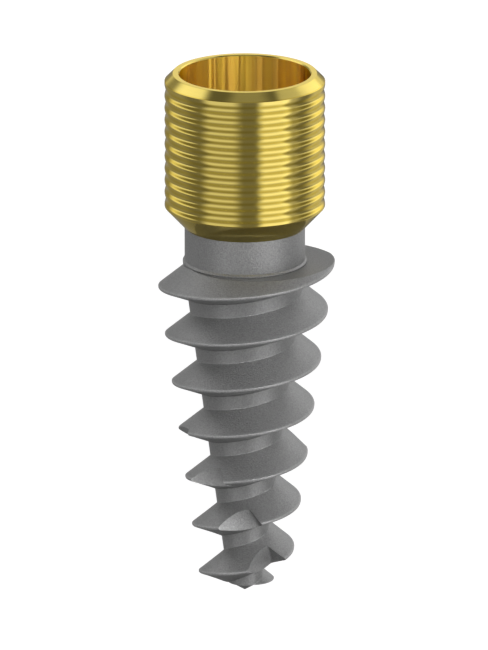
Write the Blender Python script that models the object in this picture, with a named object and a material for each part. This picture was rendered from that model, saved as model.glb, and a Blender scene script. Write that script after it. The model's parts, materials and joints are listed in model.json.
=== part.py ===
"""Screw-type dental implant: one turned and milled piece of titanium, lying on its side.

Metres, +Z up. The implant is modelled along its own axis, with the rim of the collar at z = 0
and the tip at z = -OVERALL_LENGTH, and is then laid down on the crests of its tapered thread.
"""
import math

import bmesh
import bpy
from mathutils import Matrix, Vector

# Overall size
OVERALL_LENGTH = 0.0150
SEGMENTS = 56

# Collar: a plain cup with turned rings round its outside
COLLAR_DIAMETER = 0.00446
RIM_CHAMFER = 0.00023
COLLAR_LENGTH = 0.00381
SHOULDER_ANGLE = math.radians(42.8)
RING_COUNT = 10
RING_PITCH = 0.000347
RING_DEPTH = 0.00005
RING_GROOVE_WIDTH = 0.0002
FIRST_RING = 0.000475

# Bore, drive socket and retaining screw hole inside the collar
BORE_DIAMETER = 0.00364
BORE_LIP = 0.00003
BORE_DEPTH = 0.0024
BORE_SEAT_ANGLE = math.radians(45.0)
SOCKET_ACROSS_FLATS = 0.00242
SOCKET_DEPTH = 0.0016
SCREW_HOLE_DIAMETER = 0.0016
SCREW_HOLE_DEPTH = 0.0028
DRILL_POINT_ANGLE = math.radians(59.0)

# Neck between the collar and the thread
NECK_DIAMETER = 0.00335
NECK_LENGTH = 0.00102
NECK_STEP = 0.00004

# Tapered thread
THREAD_DIAMETER = 0.0050
THREAD_DEPTH = 0.00078
THREAD_PITCH = 0.00138
THREAD_START = math.radians(9.0)
THREAD_TAPER = math.radians(7.7)
UPPER_FLANK_ANGLE = math.radians(36.6)
LOWER_FLANK_ANGLE = math.radians(23.3)
CREST_WIDTH = 0.00007

# Cutting flutes at the tip end: notches that wind against the thread
FLUTE_COUNT = 2
FLUTE_LEAD = 0.0117
FLUTE_FLOOR = 0.00028
FLUTE_ANGLE = math.radians(95.0)
FLUTE_START = 0.00992
FLUTE_RUN_OUT = 0.00055
FLUTE_AZIMUTH = math.radians(-157.0)
FLUTE_STEPS = 72
FLUTE_STRIPS = 3

# Tip
POINT_LEDGE = 0.00005
POINT_HEIGHT = 0.00025

# How far a cutter reaches past the metal
CLEAR = 0.0005

# Edges that turn by more than this stay crisp
SHARP_EDGE = math.radians(25.0)

GREY_TITANIUM = (0.17, 0.17, 0.17, 1.0)
GOLD_TITANIUM = (0.55, 0.40, 0.07, 1.0)

# Heights along the implant's axis that follow from the sizes above
COLLAR_RADIUS = COLLAR_DIAMETER / 2
NECK_RADIUS = NECK_DIAMETER / 2
SHOULDER_END = COLLAR_LENGTH + (COLLAR_RADIUS - NECK_RADIUS) / math.tan(SHOULDER_ANGLE)
FOOT = SHOULDER_END + NECK_LENGTH
END_FACE = OVERALL_LENGTH - POINT_HEIGHT


def core_radius(depth):
    """Radius of the tapered core at a distance from the rim."""
    return THREAD_DIAMETER / 2 - THREAD_DEPTH - math.tan(THREAD_TAPER) * (depth - FOOT)


def material(name, colour, roughness):
    """A metal with one colour and roughness."""
    made = bpy.data.materials.new(name)
    made.use_nodes = True
    shader = made.node_tree.nodes["Principled BSDF"]
    shader.inputs["Base Color"].default_value = colour
    shader.inputs["Metallic"].default_value = 1.0
    shader.inputs["Roughness"].default_value = roughness
    return made


def add_object(name, bm, materials):
    """Turn a bmesh into an object with closed, outward faces."""
    bmesh.ops.remove_doubles(bm, verts=bm.verts, dist=1e-8)
    bmesh.ops.recalc_face_normals(bm, faces=bm.faces)
    mesh = bpy.data.meshes.new(name)
    bm.to_mesh(mesh)
    bm.free()
    for entry in materials:
        mesh.materials.append(entry)
    made = bpy.data.objects.new(name, mesh)
    bpy.context.scene.collection.objects.link(made)
    return made


def revolve(profile, segments, slot=0):
    """Closed solid turned from (radius, height) points that start and end on the axis."""
    bm = bmesh.new()
    rings = []
    for radius, height in profile:
        if radius == 0.0:
            rings.append([bm.verts.new((0.0, 0.0, height))])
            continue
        ring = []
        for step in range(segments):
            angle = (step + 0.5) * math.tau / segments
            ring.append(bm.verts.new((radius * math.cos(angle), radius * math.sin(angle), height)))
        rings.append(ring)
    for upper, lower in zip(rings, rings[1:]):
        for step in range(segments):
            following = (step + 1) % segments
            corners = [upper[step % len(upper)], lower[step % len(lower)],
                       lower[following % len(lower)], upper[following % len(upper)]]
            face = bm.faces.new(list(dict.fromkeys(corners)))
            face.material_index = slot
    return bm


def collar_profile():
    """Outside of the collar, from the rim to the neck, with its turned rings."""
    points = [(0.0, 0.0), (COLLAR_RADIUS - RIM_CHAMFER, 0.0), (COLLAR_RADIUS, -RIM_CHAMFER)]
    shoulder = RING_GROOVE_WIDTH / 4
    for ring in range(RING_COUNT):
        middle = FIRST_RING + ring * RING_PITCH
        points.append((COLLAR_RADIUS, -(middle - RING_GROOVE_WIDTH / 2)))
        points.append((COLLAR_RADIUS - RING_DEPTH, -(middle - shoulder)))
        points.append((COLLAR_RADIUS - RING_DEPTH, -(middle + shoulder)))
        points.append((COLLAR_RADIUS, -(middle + RING_GROOVE_WIDTH / 2)))
    points.append((COLLAR_RADIUS, -COLLAR_LENGTH))
    return points


def add_head(materials):
    """Collar, shoulder and neck, with a spindle inside the core that ends in the centre point."""
    spindle = core_radius(END_FACE) - POINT_LEDGE
    step_radius = core_radius(FOOT)
    points = collar_profile()
    points.append((NECK_RADIUS, -SHOULDER_END))
    points.append((NECK_RADIUS, -(FOOT - 2 * NECK_STEP)))
    points.append((step_radius, -(FOOT - NECK_STEP)))
    points.append((step_radius - THREAD_DEPTH / 2, -(FOOT + THREAD_PITCH / 2)))
    points.append((spindle, -(FOOT + THREAD_PITCH)))
    points.append((spindle, -END_FACE))
    points.append((0.0, -OVERALL_LENGTH))
    bm = revolve(points, SEGMENTS)
    for face in bm.faces:
        if face.calc_center_median().z > -SHOULDER_END:
            face.material_index = 1
    return add_object("head", bm, materials)


def thread_section(centre):
    """(radius, height) points over one pitch of thread whose crest lies at a distance from the rim."""
    upper = THREAD_DEPTH * math.tan(UPPER_FLANK_ANGLE)
    lower = THREAD_DEPTH * math.tan(LOWER_FLANK_ANGLE)
    half_crest = CREST_WIDTH / 2
    offsets = [
        (-half_crest - upper, 0.0),
        (-half_crest, THREAD_DEPTH),
        (half_crest, THREAD_DEPTH),
        (half_crest + lower, 0.0),
        (THREAD_PITCH - half_crest - upper, 0.0),
    ]
    return [(core_radius(centre + along) + rise, -(centre + along)) for along, rise in offsets]


def add_thread(materials):
    """Tapered core with its right-handed thread, trimmed flat at the neck and at the tip."""
    turns_below = math.ceil((END_FACE - FOOT) / THREAD_PITCH) + 2
    turns_above = 2
    bm = bmesh.new()
    columns = []
    for step in range(-turns_above * SEGMENTS, turns_below * SEGMENTS + 1):
        angle = -(step + 0.5) * math.tau / SEGMENTS
        centre = FOOT + THREAD_PITCH * (THREAD_START - angle) / math.tau
        column = []
        for radius, height in thread_section(centre):
            column.append(bm.verts.new((radius * math.cos(angle), radius * math.sin(angle), height)))
        columns.append(column)
    for here, there in zip(columns, columns[1:]):
        for lower in range(len(here) - 1):
            bm.faces.new((here[lower], there[lower], there[lower + 1], here[lower + 1]))
    bmesh.ops.remove_doubles(bm, verts=bm.verts, dist=1e-8)
    trim_flat(bm, -FOOT, upwards=True)
    trim_flat(bm, -END_FACE, upwards=False)
    return add_object("implant_body", bm, materials)


def trim_flat(bm, height, upwards):
    """Cut the mesh square to the axis, drop what lies beyond, and close the cut with a flat face."""
    normal = Vector((0.0, 0.0, 1.0 if upwards else -1.0))
    everything = bm.verts[:] + bm.edges[:] + bm.faces[:]
    bmesh.ops.bisect_plane(bm, geom=everything, dist=1e-9, plane_co=(0.0, 0.0, height),
                           plane_no=normal, clear_outer=True)
    rim = [edge for edge in bm.edges if edge.is_boundary and on_plane(edge, height)]
    bmesh.ops.contextual_create(bm, geom=rim)


def on_plane(edge, height):
    """Whether both ends of an edge lie at a height."""
    return all(abs(vertex.co.z - height) < 1e-8 for vertex in edge.verts)


def add_bore(materials):
    """Cutter for the bore, its conical seat, and the hole for the retaining screw."""
    radius = BORE_DIAMETER / 2
    screw = SCREW_HOLE_DIAMETER / 2
    socket_corner = SOCKET_ACROSS_FLATS / math.sqrt(3.0)
    seat = (radius - socket_corner) / math.tan(BORE_SEAT_ANGLE)
    screw_end = BORE_DEPTH + SOCKET_DEPTH + SCREW_HOLE_DEPTH
    points = [
        (0.0, CLEAR),
        (radius + BORE_LIP + CLEAR, CLEAR),
        (radius, -BORE_LIP),
        (radius, -(BORE_DEPTH - seat)),
        (socket_corner, -BORE_DEPTH),
        (screw, -BORE_DEPTH),
        (screw, -screw_end),
        (0.0, -(screw_end + screw / math.tan(DRILL_POINT_ANGLE))),
    ]
    return add_object("bore", revolve(points, SEGMENTS, slot=1), materials)


def add_socket(materials):
    """Cutter for the six-sided drive socket below the bore."""
    corner = SOCKET_ACROSS_FLATS / math.sqrt(3.0)
    bottom = BORE_DEPTH + SOCKET_DEPTH
    point = (corner - SCREW_HOLE_DIAMETER / 2) / math.tan(DRILL_POINT_ANGLE) / 2
    points = [
        (0.0, -(BORE_DEPTH - CLEAR)),
        (corner, -(BORE_DEPTH - CLEAR)),
        (corner, -bottom),
        (SCREW_HOLE_DIAMETER / 2, -(bottom + point)),
        (0.0, -(bottom + point)),
    ]
    return add_object("socket", revolve(points, 6, slot=1), materials)


def flute_floor(depth):
    """Distance from the axis to the corner of a flute, which runs out towards the collar."""
    full = core_radius(depth) + FLUTE_FLOOR
    outside = core_radius(FLUTE_START) + THREAD_DEPTH
    run_out = outside - (depth - FLUTE_START) * (outside - full) / FLUTE_RUN_OUT
    return max(full, run_out)


def flute_section(depth, turn):
    """Corners of a flute's cutter at one depth: the cutting face, the outside, then the relief."""
    reach = THREAD_DIAMETER / 2 + CLEAR
    floor = flute_floor(depth)
    across = floor * math.sin(FLUTE_ANGLE)
    width = math.sqrt(reach * reach - across * across) - floor * math.cos(FLUTE_ANGLE)
    outward = Vector((math.cos(turn), math.sin(turn), 0.0))
    along = Vector((math.cos(turn - FLUTE_ANGLE), math.sin(turn - FLUTE_ANGLE), 0.0))
    corners = [outward * reach, outward * reach + along * width]
    for strip in range(FLUTE_STRIPS, -1, -1):
        corners.append(outward * floor + along * width * strip / FLUTE_STRIPS)
    return [Vector((corner.x, corner.y, -depth)) for corner in corners]


def add_flute(index, materials):
    """Cutter for one flute: a radial cutting face and a relief that meet in a winding corner."""
    top = FLUTE_START - FLUTE_RUN_OUT / 4
    bottom = END_FACE + CLEAR
    bm = bmesh.new()
    sections = []
    for step in range(FLUTE_STEPS + 1):
        depth = top + (bottom - top) * step / FLUTE_STEPS
        turn = FLUTE_AZIMUTH + (depth - FLUTE_START) * math.tau / FLUTE_LEAD
        turn += index * math.tau / FLUTE_COUNT
        sections.append([bm.verts.new(corner) for corner in flute_section(depth, turn)])
    for here, there in zip(sections, sections[1:]):
        for side in range(len(here)):
            following = (side + 1) % len(here)
            bm.faces.new((here[side], here[following], there[following], there[side]))
    bmesh.ops.triangulate(bm, faces=bm.faces, quad_method="FIXED")
    bm.faces.new(sections[0])
    bm.faces.new(list(reversed(sections[-1])))
    return add_object(f"flute_{index + 1}", bm, materials)


def combine(target, tool, operation):
    """Join another solid to the target, or cut it away, and drop the other solid."""
    modifier = target.modifiers.new(tool.name, "BOOLEAN")
    modifier.operation = operation
    modifier.solver = "EXACT"
    modifier.object = tool
    graph = bpy.context.evaluated_depsgraph_get()
    mesh = bpy.data.meshes.new_from_object(target.evaluated_get(graph))
    target.modifiers.remove(modifier)
    target.data = mesh
    bpy.data.objects.remove(tool)


def lay_down(implant):
    """Lay the implant on the crests of its thread, so that its collar is held clear of the ground."""
    tilt = math.atan(math.tan(THREAD_TAPER) * math.cos(math.pi / SEGMENTS))
    turned = Matrix.Rotation(tilt - math.pi / 2, 4, "X")
    places = [turned @ vertex.co for vertex in implant.data.vertices]
    middle_x = (min(place.x for place in places) + max(place.x for place in places)) / 2
    middle_y = (min(place.y for place in places) + max(place.y for place in places)) / 2
    lowest = min(place.z for place in places)
    implant.matrix_world = Matrix.Translation((-middle_x, -middle_y, -lowest)) @ turned


def build():
    """Model the implant."""
    for old in list(bpy.data.objects):
        bpy.data.objects.remove(old)
    materials = [
        material("blasted_titanium", GREY_TITANIUM, 0.55),
        material("anodised_titanium", GOLD_TITANIUM, 0.25),
    ]
    implant = add_thread(materials)
    combine(implant, add_head(materials), "UNION")
    combine(implant, add_bore(materials), "DIFFERENCE")
    combine(implant, add_socket(materials), "DIFFERENCE")
    for index in range(FLUTE_COUNT):
        combine(implant, add_flute(index, materials), "DIFFERENCE")
    implant.data.name = implant.name
    implant.data.shade_smooth()
    implant.data.set_sharp_from_angle(angle=SHARP_EDGE)
    lay_down(implant)


build()
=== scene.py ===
"""Dental implant lying on a white table, looked at from above.

Metres. The implant is modelled upright, with its rim at z = 0 and its tip below, in two finishes:
a gold anodised collar and a grey grit-blasted body. Both are then laid down where the CAD solid is.
"""
import json
import math

import bmesh
import bpy
from mathutils import Matrix, Vector


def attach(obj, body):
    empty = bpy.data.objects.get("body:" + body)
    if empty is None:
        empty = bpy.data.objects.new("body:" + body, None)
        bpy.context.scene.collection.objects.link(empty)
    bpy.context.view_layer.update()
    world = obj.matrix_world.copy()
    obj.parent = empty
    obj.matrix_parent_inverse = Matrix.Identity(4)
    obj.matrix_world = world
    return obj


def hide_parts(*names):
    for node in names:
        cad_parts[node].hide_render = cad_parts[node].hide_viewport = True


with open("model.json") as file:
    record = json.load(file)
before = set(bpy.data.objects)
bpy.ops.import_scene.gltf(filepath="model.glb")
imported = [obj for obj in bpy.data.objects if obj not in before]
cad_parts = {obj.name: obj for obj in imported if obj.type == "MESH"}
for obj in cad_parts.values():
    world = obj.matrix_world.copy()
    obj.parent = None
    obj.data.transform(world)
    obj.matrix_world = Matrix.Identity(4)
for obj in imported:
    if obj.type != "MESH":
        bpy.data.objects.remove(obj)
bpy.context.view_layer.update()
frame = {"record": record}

MM = 0.001

# Whole implant
OVERALL_LENGTH = 15.0 * MM
TURN_STEPS = 240

# Collar
COLLAR_RADIUS = 2.231 * MM
RIM_CHAMFER = 0.23 * MM
RIM_ROUND = 0.015 * MM
RIM_LAND = 0.05 * MM
COLLAR_LENGTH = 3.81 * MM
SHOULDER_ANGLE = math.radians(42.8)
SHOULDER_ROUND = 0.03 * MM
RING_COUNT = 10
RING_PITCH = 0.347 * MM
RING_DEPTH = 0.032 * MM
RING_STEPS = 14
RING_LEAST_STEP = 0.005 * MM
FIRST_RING = 0.475 * MM

# Bore, drive socket and screw hole, whose point is a share of its radius
BORE_RADIUS = 1.82 * MM
BORE_LIP = 0.03 * MM
BORE_DEPTH = 2.4 * MM
SOCKET_ACROSS_FLATS = 2.42 * MM
SOCKET_SIDES = 6
SOCKET_DEPTH = 1.6 * MM
SCREW_HOLE_RADIUS = 0.8 * MM
SCREW_HOLE_DEPTH = 2.8 * MM
SCREW_HOLE_POINT = 0.6
SCREW_HOLE_STEPS = 96

# Neck, whose top end is a shallow cone inside the collar
NECK_RADIUS = 1.675 * MM
NECK_LENGTH = 1.02 * MM
NECK_STEP = 0.04 * MM
NECK_CONE = 0.05 * MM
NECK_EDGE = 0.0005 * MM
SHOULDER_END = COLLAR_LENGTH + (COLLAR_RADIUS - NECK_RADIUS) / math.tan(SHOULDER_ANGLE)
FOOT = SHOULDER_END + NECK_LENGTH

# Thread
THREAD_RADIUS = 2.506 * MM
THREAD_DEPTH = 0.78 * MM
THREAD_PITCH = 1.382 * MM
THREAD_START = math.radians(9.0)
THREAD_TAPER = math.radians(7.71)
THREAD_SPARE_TURNS = 2
UPPER_FLANK = math.radians(36.6)
LOWER_FLANK = math.radians(23.3)
CREST_WIDTH = 0.063 * MM
CREST_ROUND = 0.03 * MM
ROOT_ROUND = 0.025 * MM

# Cutting flutes, whose corner lies FLUTE_FLOOR over the core at FLUTE_FLOOR_DEPTH from the rim
FLUTE_COUNT = 2
FLUTE_LEAD = 11.7 * MM
FLUTE_FLOOR = 0.28 * MM
FLUTE_FLOOR_DEPTH = 13.6 * MM
FLUTE_SHALLOWING = 0.033
FLUTE_FILLET = 0.08 * MM
FLUTE_FILLET_STEPS = 4
FLUTE_ANGLE = math.radians(95.0)
FLUTE_START = 9.89 * MM
FLUTE_RUN_OUT = 0.55 * MM
FLUTE_AZIMUTH = math.radians(-157.0)
FLUTE_STEPS = 220
FLUTE_STRIPS = 8

# Tip
POINT_LEDGE = 0.05 * MM
POINT_HEIGHT = 0.25 * MM
END_FACE = OVERALL_LENGTH - POINT_HEIGHT

# Meshes: cutters reach past what they cut, near points are one, and sharper edges stay crisp
CLEAR = 0.5 * MM
SAME_POINT = 1e-8
ON_PLANE = 1e-9
SHARP_EDGE = math.radians(28.0)

# Gold film, with painted shade on the shoulder below the rings, and its faint turning marks round the
# axis
GOLD = (0.78, 0.615, 0.135, 1.0)
MARKS_AND_SHADE_GOLD = (0.42, 0.34, 0.105, 1.0)
GOLD_EDGE = (0.90, 0.78, 0.36, 1.0)
GOLD_ROUGHNESS = 0.12
GOLD_COAT = 0.5
GOLD_COAT_ROUGHNESS = 0.06
SHOULDER_SHADE = 0.8
SHOULDER_SHADE_START = COLLAR_LENGTH + 0.01 * MM
SHOULDER_SHADE_END = COLLAR_LENGTH + 0.05 * MM
MARKS_STRETCH = (0.02, 0.02, 1.0)
MARKS_SCALE = 16000.0
MARKS_DETAIL = 2.0
MARKS_HEIGHT = 0.0015 * MM
MARKS_IN_FILM = 0.2

# Painted highlight and shade over a ring, paler on its crest and groove and deeper on its flanks:
# its height runs from 0 inside the collar, over the bottom of the groove at 0.5, to the crest at 1
WHITE = (1.0, 1.0, 1.0, 1.0)
PAINTED_HIGHLIGHT_TINT = (1.0, 1.0, 1.14, 1.0)
PAINTED_SHADE_TINT = (0.93, 0.87, 0.50, 1.0)
RING_PAINTED_LIGHT = [(0.46, WHITE), (0.54, PAINTED_HIGHLIGHT_TINT), (0.66, PAINTED_SHADE_TINT), (0.84, PAINTED_SHADE_TINT), (1.0, PAINTED_HIGHLIGHT_TINT)]

# Gold inside the bore, its colour painted with streaks of reflection along it, and the waves that the
# boring tool left along it
BORE_FILM_AND_PAINTED_STREAKS = [(0.38, (0.84, 0.52, 0.085, 1.0)), (0.60, (1.0, 0.67, 0.085, 1.0))]
BORE_EDGE = (0.45, 0.22, 0.06, 1.0)
BORE_ROUGHNESS = 0.42
BORE_BRUSHING = 1.0
BORE_BRUSHING_TURN = 0.25
BORE_MARGIN = 0.002 * MM
BORE_END_MARGIN = 0.01 * MM
WAVES_AND_STREAKS_STRETCH = (1.0, 1.0, 0.03)
WAVES_AND_STREAKS_SCALE = 3500.0
WAVES_AND_STREAKS_DETAIL = 1.0
WAVES_HEIGHT = 0.05 * MM

# Grey grit-blasted finish, its grain, and the painted highlight that starts just below a crest
GREY_ROUGHNESS = 0.50
GREY_DARK = 0.280
GREY_LIGHT = 0.410
GRAIN_SCALE = 23000.0
GRAIN_DETAIL = 2.0
GRAIN_ROUGHNESS = 0.7
GRAIN_HEIGHT = 0.012 * MM
GRAIN_LOW = 0.3
GRAIN_HIGH = 0.7
CREST_HIGHLIGHT_START = 0.06 * MM
CREST_HIGHLIGHT_FULL = 0.01 * MM
CREST_HIGHLIGHT_BRIGHTNESS = 1.32

# Table: its paint to the camera and to all else, and the glow that only the camera sees
TABLE_REACH = 0.6
TABLE_PAINT_SEEN = 0.20
TABLE_PAINT = 0.80
TABLE_GLOW = 0.94

# Camera: the size of a pixel at the implant, and the place of its rim and axis in the image
IMAGE_WIDTH = 488.0
IMAGE_HEIGHT = 650.0
PIXEL = 0.02783 * MM
AXIS_COLUMN = 244.83
RIM_ROW = 73.8
CAMERA_RISE = math.radians(16.63)
CAMERA_LENS = 1200.0
CAMERA_SENSOR = 36.0
CAMERA_NEAR = 0.01
CAMERA_FAR = 10.0

# Lamp at the front on the right
LAMP_SIDEWAYS = math.radians(43.0)
LAMP_RISE = math.radians(-10.0)
LAMP_DISTANCE = 0.15
LAMP_WIDTH = 0.08
LAMP_HEIGHT = 0.12
LAMP_STRENGTH = 0.15

# Sky, and the soft boxes in it: middle, half width and soft edge sideways, the same upwards, strength.
# Angles are degrees from the implant's front, towards its right and towards its rim.
SKY_LEVEL = 0.14
SOFTBOXES = [
    # a band all round
    (0.0, 180.0, 1.0, 0.0, 40.0, 18.0, 0.06),
    # front right
    (45.0, 15.5, 14.0, -16.0, 5.0, 42.0, 1.01),
    (45.0, 17.0, 11.0, 20.0, 6.0, 8.0, 0.22),
    (45.0, 15.0, 14.0, -52.0, 8.0, 12.0, 0.20),
    (72.0, 4.0, 16.0, -16.0, 5.0, 45.0, 0.30),
    # front left
    (-35.5, 15.5, 19.0, -17.0, 4.0, 32.0, 0.66),
    (-35.5, 15.5, 19.0, 20.0, 6.0, 8.0, 0.16),
    (-30.0, 12.0, 16.0, -52.0, 8.0, 12.0, 0.07),
    # narrow ones at the sides, and wide ones behind them
    (-104.0, 17.0, 21.0, -4.0, 2.0, 6.0, 0.78),
    (120.0, 10.0, 42.0, -4.0, 2.0, 6.0, 0.75),
    (-135.0, 25.0, 25.0, -10.0, 30.0, 40.0, 0.13),
    (136.0, 12.0, 24.0, -5.0, 20.0, 40.0, 0.50),
    # raised ones at the sides and behind
    (-112.0, 12.0, 22.0, 42.0, 11.0, 10.0, 1.05),
    (100.0, 12.0, 16.0, 50.0, 8.0, 8.0, 0.48),
    (134.0, 8.0, 16.0, 30.0, 12.0, 8.0, 0.84),
    (180.0, 15.0, 20.0, 17.0, 6.0, 8.0, 0.80),
    # above the rim, for its chamfer
    (10.0, 35.0, 40.0, 76.0, 6.0, 10.0, 0.19),
    # small and bright, for the streaks inside the bore
    (88.0, 6.0, 9.0, 28.0, 5.0, 5.0, 1.2),
    (56.0, 5.0, 5.0, 28.0, 5.0, 5.0, 8.6),
    (21.0, 3.5, 4.5, 28.0, 5.0, 5.0, 12.0),
    (-5.0, 2.5, 4.0, 28.0, 5.0, 5.0, 7.5),
    (-30.0, 4.5, 6.0, 28.0, 5.0, 5.0, 5.6),
    (-58.0, 5.0, 5.0, 28.0, 5.0, 5.0, 4.2),
]


def core_radius(depth):
    """Radius of the tapered core at a distance from the rim."""
    return THREAD_RADIUS - THREAD_DEPTH - math.tan(THREAD_TAPER) * (depth - FOOT)


def add_object(name, bm):
    """Turn a bmesh into an object with outward faces."""
    bmesh.ops.remove_doubles(bm, verts=bm.verts, dist=SAME_POINT)
    bmesh.ops.recalc_face_normals(bm, faces=bm.faces)
    mesh = bpy.data.meshes.new(name)
    bm.to_mesh(mesh)
    bm.free()
    made = bpy.data.objects.new(name, mesh)
    bpy.context.scene.collection.objects.link(made)
    return made


def revolve(name, profile, segments=TURN_STEPS):
    """Closed solid turned from (radius, depth) points that start and end on the axis."""
    bm = bmesh.new()
    rings = []
    for radius, depth in profile:
        if radius == 0.0:
            rings.append([bm.verts.new((0.0, 0.0, -depth))])
            continue
        ring = []
        for step in range(segments):
            angle = (step + 0.5) * math.tau / segments
            ring.append(bm.verts.new((radius * math.cos(angle), radius * math.sin(angle), -depth)))
        rings.append(ring)
    for upper, lower in zip(rings, rings[1:]):
        for step in range(segments):
            following = (step + 1) % segments
            corners = [upper[step % len(upper)], lower[step % len(lower)],
                       lower[following % len(lower)], upper[following % len(upper)]]
            bm.faces.new(list(dict.fromkeys(corners)))
    return add_object(name, bm)


def rounded(points, radii, steps=5):
    """Polyline of (across, along) points whose corners are rounded by the given radii."""
    result = [points[0]]
    for before, corner, after, radius in zip(points, points[1:], points[2:], radii):
        if radius == 0.0:
            result.append(corner)
            continue
        centre = Vector(corner)
        back = (Vector(before) - centre).normalized()
        ahead = (Vector(after) - centre).normalized()
        half = back.angle(ahead) / 2
        reach = radius / math.tan(half)
        start = centre + back * reach
        end = centre + ahead * reach
        for step in range(steps + 1):
            share = step / steps
            first = start.lerp(centre, share)
            second = centre.lerp(end, share)
            result.append(tuple(first.lerp(second, share)))
    result.append(points[-1])
    return result


def combine(target, tool, operation):
    """Join another solid to the target, or cut it away, and drop the other solid."""
    modifier = target.modifiers.new(tool.name, "BOOLEAN")
    modifier.operation = operation
    modifier.solver = "EXACT"
    modifier.object = tool
    graph = bpy.context.evaluated_depsgraph_get()
    mesh = bpy.data.meshes.new_from_object(target.evaluated_get(graph))
    target.modifiers.remove(modifier)
    target.data = mesh
    bpy.data.objects.remove(tool)


def ring_profile():
    """Outside of the collar from its rim to its neck: a chamfer, a wave for each ring, the shoulder."""
    rim = [(BORE_RADIUS + BORE_LIP, 0.0), (COLLAR_RADIUS - RIM_CHAMFER, 0.0),
           (COLLAR_RADIUS, RIM_CHAMFER), (COLLAR_RADIUS, RIM_CHAMFER + RIM_LAND)]
    points = rounded(rim, [RIM_ROUND, 0.0])
    for ring in range(RING_COUNT):
        middle = FIRST_RING + ring * RING_PITCH
        for step in range(RING_STEPS):
            share = step / RING_STEPS - 0.5
            depth = middle + share * RING_PITCH
            if depth < points[-1][1] + RING_LEAST_STEP:
                continue
            groove = RING_DEPTH * (0.5 + 0.5 * math.cos(share * math.tau))
            points.append((COLLAR_RADIUS - groove, depth))
    corner = [points[-1], (COLLAR_RADIUS, COLLAR_LENGTH), (NECK_RADIUS, SHOULDER_END)]
    points.extend(rounded(corner, [SHOULDER_ROUND])[1:])
    return points


def add_collar():
    """Gold collar: turned rings outside; bore, seat, drive socket and screw hole inside."""
    seat_end = SOCKET_ACROSS_FLATS / math.sqrt(3.0)
    seat = BORE_RADIUS - seat_end
    points = [(0.0, BORE_DEPTH), (seat_end, BORE_DEPTH)]
    points.append((BORE_RADIUS, BORE_DEPTH - seat))
    points.append((BORE_RADIUS, BORE_LIP))
    points.extend(ring_profile())
    points.append((0.0, SHOULDER_END))
    collar = revolve("collar_anodised", points)
    top = BORE_DEPTH - CLEAR
    bottom = BORE_DEPTH + SOCKET_DEPTH
    socket = [(0.0, top), (seat_end, top), (seat_end, bottom), (0.0, bottom)]
    combine(collar, revolve("socket", socket, SOCKET_SIDES), "DIFFERENCE")
    combine(collar, screw_hole(), "DIFFERENCE")
    return collar


def screw_hole():
    """Cutter for the retaining screw's plain hole, with a pointed bottom."""
    top = BORE_DEPTH + SOCKET_DEPTH / 2
    bottom = BORE_DEPTH + SOCKET_DEPTH + SCREW_HOLE_DEPTH
    points = [(0.0, top), (SCREW_HOLE_RADIUS, top), (SCREW_HOLE_RADIUS, bottom)]
    points.append((0.0, bottom + SCREW_HOLE_RADIUS * SCREW_HOLE_POINT))
    return revolve("screw_hole", points, SCREW_HOLE_STEPS)


def thread_section():
    """(rise, offset along) points over one pitch of thread, with the crest and roots rounded."""
    upper = THREAD_DEPTH * math.tan(UPPER_FLANK)
    lower = THREAD_DEPTH * math.tan(LOWER_FLANK)
    half = CREST_WIDTH / 2
    top = -half - upper
    bottom = half + lower
    middle = (bottom + top + THREAD_PITCH) / 2
    corners = [(0.0, middle - THREAD_PITCH), (0.0, top), (THREAD_DEPTH, -half), (THREAD_DEPTH, half),
               (0.0, bottom), (0.0, middle)]
    return rounded(corners, [ROOT_ROUND, CREST_ROUND, CREST_ROUND, ROOT_ROUND])


def trim_flat(bm, height, upwards):
    """Cut the mesh square to the axis, drop what lies beyond, and close the cut with a flat face."""
    normal = Vector((0.0, 0.0, 1.0 if upwards else -1.0))
    everything = bm.verts[:] + bm.edges[:] + bm.faces[:]
    bmesh.ops.bisect_plane(bm, geom=everything, dist=ON_PLANE, plane_co=(0.0, 0.0, height),
                           plane_no=normal, clear_outer=True)
    rim = [edge for edge in bm.edges if edge.is_boundary
           and all(abs(vertex.co.z - height) < SAME_POINT for vertex in edge.verts)]
    bmesh.ops.contextual_create(bm, geom=rim)


def add_thread():
    """Tapered core with its right-handed thread, trimmed flat at the neck and at the tip."""
    turns_below = math.ceil((END_FACE - FOOT) / THREAD_PITCH) + THREAD_SPARE_TURNS
    section = thread_section()
    bm = bmesh.new()
    columns = []
    for step in range(-THREAD_SPARE_TURNS * TURN_STEPS, turns_below * TURN_STEPS + 1):
        angle = -(step + 0.5) * math.tau / TURN_STEPS
        centre = FOOT + THREAD_PITCH * (THREAD_START - angle) / math.tau
        column = []
        for rise, along in section:
            radius = core_radius(centre + along) + rise
            column.append(bm.verts.new((radius * math.cos(angle), radius * math.sin(angle),
                                        -(centre + along))))
        columns.append(column)
    for here, there in zip(columns, columns[1:]):
        for lower in range(len(here) - 1):
            bm.faces.new((here[lower], there[lower], there[lower + 1], here[lower + 1]))
    bmesh.ops.remove_doubles(bm, verts=bm.verts, dist=SAME_POINT)
    trim_flat(bm, -FOOT, upwards=True)
    trim_flat(bm, -END_FACE, upwards=False)
    return add_object("body_blasted", bm)


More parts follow.
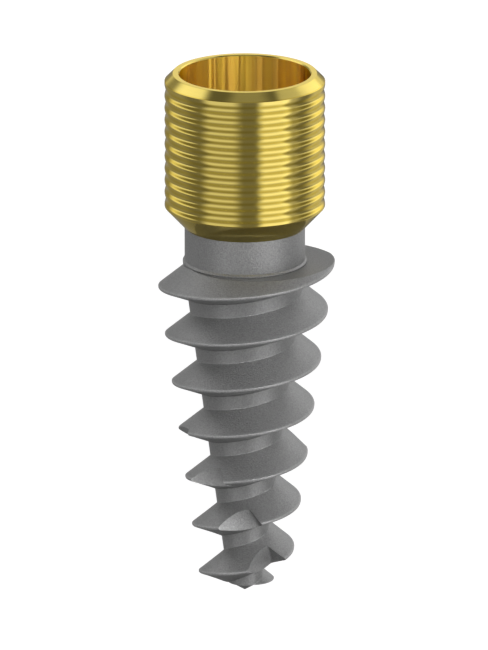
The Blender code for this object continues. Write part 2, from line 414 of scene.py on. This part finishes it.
def add_neck():
    """Neck with its small step, and a spindle inside the core that ends in the centre point."""
    spindle = core_radius(END_FACE) - POINT_LEDGE
    step_radius = core_radius(FOOT)
    # the step's edges are shares of its height
    points = [
        (0.0, SHOULDER_END - NECK_CONE),
        (NECK_RADIUS, SHOULDER_END - NECK_EDGE),
        (NECK_RADIUS, FOOT - 2.0 * NECK_STEP),
        (step_radius - 0.3 * NECK_STEP, FOOT - 1.2 * NECK_STEP),
        (step_radius, FOOT - 0.9 * NECK_STEP),
        (step_radius, FOOT - 0.3 * NECK_STEP),
        (step_radius - THREAD_DEPTH / 2, FOOT + THREAD_PITCH / 2),
        (spindle, FOOT + THREAD_PITCH),
        (spindle, END_FACE),
        (0.0, OVERALL_LENGTH),
    ]
    return revolve("neck", points)


def flute_floor(depth):
    """Distance from the axis to the corner of a flute, which runs out towards the collar."""
    full = core_radius(depth) + FLUTE_FLOOR + FLUTE_SHALLOWING * (FLUTE_FLOOR_DEPTH - depth)
    outside = core_radius(FLUTE_START) + THREAD_DEPTH
    run_out = outside - (depth - FLUTE_START) * (outside - full) / FLUTE_RUN_OUT
    return max(full, run_out)


def flute_section(depth, turn):
    """Corners of a flute's cutter at one depth: the outside, the relief, then a fillet."""
    reach = THREAD_RADIUS + CLEAR
    floor = flute_floor(depth)
    across = floor * math.sin(FLUTE_ANGLE)
    width = math.sqrt(reach * reach - across * across) - floor * math.cos(FLUTE_ANGLE)
    outward = Vector((math.cos(turn), math.sin(turn), 0.0))
    along = Vector((math.cos(turn - FLUTE_ANGLE), math.sin(turn - FLUTE_ANGLE), 0.0))
    corners = [outward * reach, outward * reach + along * width]
    for strip in range(FLUTE_STRIPS, 0, -1):
        corners.append(outward * floor + along * width * strip / FLUTE_STRIPS)
    for step in range(FLUTE_FILLET_STEPS + 1):
        share = step / FLUTE_FILLET_STEPS
        corners.append(outward * (floor + FLUTE_FILLET * share * share)
                       + along * FLUTE_FILLET * (1.0 - share) * (1.0 - share))
    return [Vector((corner.x, corner.y, -depth)) for corner in corners]


def add_flute(index):
    """Cutter for one flute: a radial cutting face and a relief that meet in a winding corner."""
    top = FLUTE_START - FLUTE_RUN_OUT / 4
    bottom = END_FACE + CLEAR
    start = FLUTE_AZIMUTH + index * math.tau / FLUTE_COUNT
    bm = bmesh.new()
    sections = []
    for step in range(FLUTE_STEPS + 1):
        depth = top + (bottom - top) * step / FLUTE_STEPS
        turn = start + (depth - FLUTE_START) * math.tau / FLUTE_LEAD
        sections.append([bm.verts.new(corner) for corner in flute_section(depth, turn)])
    for here, there in zip(sections, sections[1:]):
        for side in range(len(here)):
            following = (side + 1) % len(here)
            bm.faces.new((here[side], here[following], there[following], there[side]))
    bmesh.ops.triangulate(bm, faces=bm.faces, quad_method="FIXED")
    bm.faces.new(sections[0])
    bm.faces.new(list(reversed(sections[-1])))
    return add_object(f"flute_{index + 1}", bm)


def add_body():
    """Grey body: neck, tapered thread, flutes and centre point."""
    body = add_thread()
    combine(body, add_neck(), "UNION")
    for index in range(FLUTE_COUNT):
        combine(body, add_flute(index), "DIFFERENCE")
    combine(body, screw_hole(), "DIFFERENCE")
    return body


def set_inputs(node, values):
    """Set a node's sockets by their names."""
    for name, value in values.items():
        node.inputs[name].default_value = value


def add_math(tree, operation, *inputs):
    """A Math node with sockets or numbers for its inputs; gives back its output."""
    node = tree.nodes.new("ShaderNodeMath")
    node.operation = operation
    for socket, value in zip(node.inputs, inputs):
        if isinstance(value, (int, float)):
            socket.default_value = value
        else:
            tree.links.new(value, socket)
    return node.outputs[0]


def add_range(tree, value, low, high, to_low=0.0, to_high=1.0, fade="LINEAR"):
    """A value taken from one range to another, held at the ends; gives back the output."""
    node = tree.nodes.new("ShaderNodeMapRange")
    node.interpolation_type = fade
    set_inputs(node, {"From Min": low, "From Max": high, "To Min": to_low, "To Max": to_high})
    tree.links.new(value, node.inputs["Value"])
    return node.outputs[0]


def add_ramp(tree, value, stops):
    """Colour for a value from (position, colour) stops; gives back the output."""
    node = tree.nodes.new("ShaderNodeValToRGB")
    elements = node.color_ramp.elements
    for element, stop in zip(elements, (stops[0], stops[-1])):
        element.position, element.color = stop
    for position, color in stops[1:-1]:
        elements.new(position).color = color
    tree.links.new(value, node.inputs["Fac"])
    return node.outputs["Color"]


def add_noise(tree, vector, scale, detail, roughness=0.5):
    """Noise over a vector; gives back its strength."""
    node = tree.nodes.new("ShaderNodeTexNoise")
    set_inputs(node, {"Scale": scale, "Detail": detail, "Roughness": roughness})
    tree.links.new(vector, node.inputs["Vector"])
    return node.outputs["Fac"]


def add_stretch(tree, vector, scale):
    """A vector scaled along each axis: what it feeds is drawn out where the scale is small."""
    node = tree.nodes.new("ShaderNodeMapping")
    node.inputs["Scale"].default_value = scale
    tree.links.new(vector, node.inputs["Vector"])
    return node.outputs[0]


def add_bump(tree, shader, height, distance):
    """Bump of a surface by a height from 0 to 1."""
    node = tree.nodes.new("ShaderNodeBump")
    set_inputs(node, {"Strength": 1.0, "Distance": distance})
    tree.links.new(height, node.inputs["Height"])
    tree.links.new(node.outputs["Normal"], shader.inputs["Normal"])


def place_parts(tree, place):
    """X, Y and Z of a place on the implant."""
    node = tree.nodes.new("ShaderNodeSeparateXYZ")
    tree.links.new(place, node.inputs[0])
    return node.outputs


def from_axis(tree, parts):
    """Distance of a place from the implant's axis."""
    return add_math(tree, "SQRT",
                    add_math(tree, "ADD",
                             add_math(tree, "POWER", parts["X"], 2.0),
                             add_math(tree, "POWER", parts["Y"], 2.0)))


def new_material(name):
    """A metal: its material, node tree, shader and the places on the upright implant."""
    made = bpy.data.materials.new(name)
    made.use_nodes = True
    tree = made.node_tree
    shader = tree.nodes["Principled BSDF"]
    shader.inputs["Metallic"].default_value = 1.0
    place = tree.nodes.new("ShaderNodeTexCoord").outputs["Object"]
    return made, tree, shader, place


def gold_film(tree, marks, parts):
    """Colour of the gold film: painted shade past the rings, and painted highlight and shade over each
    ring.
    """
    # painted shade on the shoulder below the rings, mixed with the turning marks
    painted_shoulder_shade = add_range(tree, parts["Z"], -SHOULDER_SHADE_START, -SHOULDER_SHADE_END, to_high=SHOULDER_SHADE)
    level = add_math(tree, "MULTIPLY_ADD", marks, MARKS_IN_FILM, painted_shoulder_shade)
    # painted highlight and shade over each ring, by its height
    height = add_range(tree, from_axis(tree, parts), COLLAR_RADIUS - 2.0 * RING_DEPTH, COLLAR_RADIUS)
    film_with_painted_light = tree.nodes.new("ShaderNodeVectorMath")
    film_with_painted_light.operation = "MULTIPLY"
    tree.links.new(add_ramp(tree, level, [(0.0, GOLD), (1.0, MARKS_AND_SHADE_GOLD)]), film_with_painted_light.inputs[0])
    tree.links.new(add_ramp(tree, height, RING_PAINTED_LIGHT), film_with_painted_light.inputs[1])
    return film_with_painted_light.outputs[0]


def gold_material():
    """Turned titanium, anodised gold: glossy, with faint turning marks, painted shade on the shoulder
    and painted highlight and shade over the rings.
    """
    made, tree, shader, place = new_material("anodised_titanium")
    set_inputs(shader, {"Roughness": GOLD_ROUGHNESS, "Specular Tint": GOLD_EDGE,
                        "Coat Weight": GOLD_COAT, "Coat Roughness": GOLD_COAT_ROUGHNESS})
    marks = add_noise(tree, add_stretch(tree, place, MARKS_STRETCH), MARKS_SCALE, MARKS_DETAIL)
    tree.links.new(gold_film(tree, marks, place_parts(tree, place)), shader.inputs["Base Color"])
    add_bump(tree, shader, marks, MARKS_HEIGHT)
    return made


def bore_material():
    """The same gold inside the bore, left rougher by the boring tool, with painted streaks of
    reflection along it.
    """
    made, tree, shader, place = new_material("anodised_bore")
    set_inputs(shader, {"Roughness": BORE_ROUGHNESS, "Specular Tint": BORE_EDGE,
                        "Anisotropic": BORE_BRUSHING, "Anisotropic Rotation": BORE_BRUSHING_TURN})
    around = tree.nodes.new("ShaderNodeTangent")
    around.direction_type = "RADIAL"
    around.axis = "Z"
    tree.links.new(around.outputs[0], shader.inputs["Tangent"])
    waves_and_streaks = add_noise(tree, add_stretch(tree, place, WAVES_AND_STREAKS_STRETCH), WAVES_AND_STREAKS_SCALE, WAVES_AND_STREAKS_DETAIL)
    # colour from the same noise: painted streaks of reflection along the bore; the bump below is the
    # tool's waves
    tree.links.new(add_ramp(tree, waves_and_streaks, BORE_FILM_AND_PAINTED_STREAKS), shader.inputs["Base Color"])
    add_bump(tree, shader, waves_and_streaks, WAVES_HEIGHT)
    return made


def crest_highlight(tree, parts):
    """Brightness of the grey finish: a little more on the crests of the thread, a painted highlight."""
    along = add_math(tree, "MULTIPLY", parts["Z"], -1.0)
    past_foot = add_math(tree, "SUBTRACT", along, FOOT)
    across = from_axis(tree, parts)
    untapered = add_math(tree, "MULTIPLY_ADD", past_foot, math.tan(THREAD_TAPER), across)
    return add_range(tree, untapered, THREAD_RADIUS - CREST_HIGHLIGHT_START, THREAD_RADIUS - CREST_HIGHLIGHT_FULL,
                     1.0, CREST_HIGHLIGHT_BRIGHTNESS)


def blasted_material():
    """Grit-blasted titanium: matt grey with a fine grain and a painted highlight on the crests."""
    made, tree, shader, place = new_material("blasted_titanium")
    shader.distribution = "GGX"
    shader.inputs["Roughness"].default_value = GREY_ROUGHNESS
    grain = add_noise(tree, place, GRAIN_SCALE, GRAIN_DETAIL, GRAIN_ROUGHNESS)
    grey = add_range(tree, grain, GRAIN_LOW, GRAIN_HIGH, GREY_DARK, GREY_LIGHT)
    # painted highlight on the thread crests
    grey_with_crest_highlight = add_math(tree, "MULTIPLY", grey, crest_highlight(tree, place_parts(tree, place)))
    tree.links.new(grey_with_crest_highlight, shader.inputs["Base Color"])
    add_bump(tree, shader, grain, GRAIN_HEIGHT)
    return made


def paint_bore(collar):
    """Give the faces inside the bore their own finish."""
    for face in collar.data.polygons:
        across = math.hypot(face.center.x, face.center.y)
        above_shoulder_end = face.center.z > -SHOULDER_END + BORE_END_MARGIN
        if across < BORE_RADIUS + BORE_MARGIN and above_shoulder_end:
            face.material_index = 1


def pose_from_mount():
    """Pose that lays the upright implant where the solid lies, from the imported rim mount."""
    mount = next(m for m in frame["record"]["mounts"] if m["name"] == "rim_seat")
    axis = Vector(mount["axis"]).normalized()
    tilt = math.asin(axis.z)
    up = Vector((0.0, -math.sin(tilt), math.cos(tilt)))
    radius = (BORE_RADIUS + BORE_LIP + COLLAR_RADIUS - RIM_CHAMFER) / 2
    rim = Vector(mount["pos_m"]) - up * radius
    return Matrix.Translation(rim) @ Matrix.Rotation(tilt - math.pi / 2, 4, "X")


def finish_piece(piece, slot_name, pose, *made):
    """Lay a piece down, shade it, and tie it to the frame."""
    piece.matrix_world = pose
    piece.data.materials.clear()
    for one in made:
        piece.data.materials.append(one)
    piece.data.shade_smooth()
    piece.data.set_sharp_from_angle(angle=SHARP_EDGE)
    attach(piece, "root")
    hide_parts("implant_body")


def table_material():
    """White paint that glows to the camera alone, so that the table looks pure white."""
    made = bpy.data.materials.new("white_table")
    made.use_nodes = True
    tree = made.node_tree
    tree.nodes.remove(tree.nodes["Principled BSDF"])
    camera = tree.nodes.new("ShaderNodeLightPath").outputs["Is Camera Ray"]
    paint = tree.nodes.new("ShaderNodeBsdfDiffuse")
    shade = add_range(tree, camera, 0.0, 1.0, TABLE_PAINT, TABLE_PAINT_SEEN)
    tree.links.new(shade, paint.inputs["Color"])
    glow = tree.nodes.new("ShaderNodeEmission")
    tree.links.new(add_math(tree, "MULTIPLY", camera, TABLE_GLOW), glow.inputs["Strength"])
    both = tree.nodes.new("ShaderNodeAddShader")
    tree.links.new(paint.outputs[0], both.inputs[0])
    tree.links.new(glow.outputs[0], both.inputs[1])
    tree.links.new(both.outputs[0], tree.nodes["Material Output"].inputs["Surface"])
    return made


def add_floor():
    """White table, which the metal doesn't reflect and which casts no shadow."""
    bm = bmesh.new()
    bmesh.ops.create_grid(bm, x_segments=1, y_segments=1, size=TABLE_REACH)
    floor = add_object("floor", bm)
    floor.data.materials.append(table_material())
    floor.visible_glossy = False
    floor.visible_shadow = False


def add_window(tree, angle, middle, half, soft):
    """1 within half of the middle angle, falling smoothly to 0 over the soft width; degrees."""
    turn = add_math(tree, "SUBTRACT", angle, math.radians(middle))
    away = add_math(tree, "ABSOLUTE", add_math(tree, "WRAP", turn, math.pi, -math.pi))
    return add_range(tree, away, math.radians(half + soft), math.radians(half), fade="SMOOTHSTEP")


def implant_angles(tree, pose):
    """Angles of a direction in the sky, sideways from the implant's front and up to its rim."""
    turned = pose.to_3x3()
    place = tree.nodes.new("ShaderNodeTexCoord")
    parts = []
    for axis in ((1.0, 0.0, 0.0), (0.0, -1.0, 0.0), (0.0, 0.0, 1.0)):
        dot = tree.nodes.new("ShaderNodeVectorMath")
        dot.operation = "DOT_PRODUCT"
        dot.inputs[1].default_value = turned @ Vector(axis)
        tree.links.new(place.outputs["Generated"], dot.inputs[0])
        parts.append(dot.outputs["Value"])
    right, front, up = parts
    return add_math(tree, "ARCTAN2", right, front), add_math(tree, "ARCSINE", up)


def add_world(pose):
    """Soft studio light: a dim sky with soft boxes of light in it. The camera sees plain white."""
    world = bpy.data.worlds.new("studio")
    bpy.context.scene.world = world
    world.use_nodes = True
    tree = world.node_tree
    sideways, rise = implant_angles(tree, pose)
    light = SKY_LEVEL
    for middle, half, soft, tall_middle, tall_half, tall_soft, strength in SOFTBOXES:
        across = add_window(tree, sideways, middle, half, soft)
        along = add_window(tree, rise, tall_middle, tall_half, tall_soft)
        both = add_math(tree, "MULTIPLY", across, along)
        light = add_math(tree, "ADD", add_math(tree, "MULTIPLY", both, strength), light)
    sky = tree.nodes["Background"]
    sky.inputs["Color"].default_value = WHITE
    tree.links.new(light, sky.inputs["Strength"])
    white = tree.nodes.new("ShaderNodeBackground")
    set_inputs(white, {"Color": WHITE, "Strength": 1.0})
    path = tree.nodes.new("ShaderNodeLightPath")
    mix = tree.nodes.new("ShaderNodeMixShader")
    tree.links.new(path.outputs["Is Camera Ray"], mix.inputs[0])
    tree.links.new(sky.outputs[0], mix.inputs[1])
    tree.links.new(white.outputs[0], mix.inputs[2])
    tree.links.new(mix.outputs[0], tree.nodes["World Output"].inputs["Surface"])


def implant_direction(pose, sideways, rise):
    """World direction from the implant, turned sideways from its front and raised to its rim."""
    local = Vector((math.sin(sideways) * math.cos(rise), -math.cos(sideways) * math.cos(rise),
                    math.sin(rise)))
    return (pose.to_3x3() @ local).normalized()


def add_lamp(pose):
    """Weak area lamp that faces the implant's middle; its strength is its brightness as a surface."""
    lamp = bpy.data.lights.new("right_box", "AREA")
    lamp.shape = "RECTANGLE"
    lamp.size = LAMP_WIDTH
    lamp.size_y = LAMP_HEIGHT
    lamp.energy = LAMP_STRENGTH * LAMP_WIDTH * LAMP_HEIGHT * math.pi
    made = bpy.data.objects.new("right_box", lamp)
    bpy.context.scene.collection.objects.link(made)
    target = pose @ Vector((0.0, 0.0, -OVERALL_LENGTH / 2))
    direction = implant_direction(pose, LAMP_SIDEWAYS, LAMP_RISE)
    made.location = target + direction * LAMP_DISTANCE
    made.rotation_euler = direction.to_track_quat("Z", "Y").to_euler()
    made.visible_camera = False


def add_camera(pose):
    """Long lens that looks down on the front, raised a little towards the rim."""
    distance = IMAGE_HEIGHT * PIXEL / 2 / math.tan(math.atan(CAMERA_SENSOR / 2 / CAMERA_LENS))
    front = implant_direction(pose, 0.0, CAMERA_RISE)
    right = Vector((1.0, 0.0, 0.0))
    up = front.cross(right)
    across = (IMAGE_WIDTH / 2 - AXIS_COLUMN) * PIXEL
    down = (IMAGE_HEIGHT / 2 - RIM_ROW) * PIXEL
    # level with the implant's middle along the view, so that the scale holds there
    middle = pose @ Vector((0.0, 0.0, -OVERALL_LENGTH / 2))
    aim = pose.translation + right * across - up * down
    aim += front * (middle - aim).dot(front)
    data = bpy.data.cameras.new("camera")
    data.lens = CAMERA_LENS
    data.sensor_width = CAMERA_SENSOR
    data.clip_start = CAMERA_NEAR
    data.clip_end = CAMERA_FAR
    camera = bpy.data.objects.new("camera", data)
    bpy.context.scene.collection.objects.link(camera)
    camera.location = aim + front * distance
    camera.rotation_euler = Matrix((right, up, front)).transposed().to_euler()
    bpy.context.scene.camera = camera


pose = pose_from_mount()
collar = add_collar()
body = add_body()
finish_piece(collar, "anodised_titanium", pose, gold_material(), bore_material())
paint_bore(collar)
finish_piece(body, "blasted_titanium", pose, blasted_material())
add_floor()
add_world(pose)
add_lamp(pose)
add_camera(pose)
bpy.context.scene.view_settings.view_transform = "Standard"
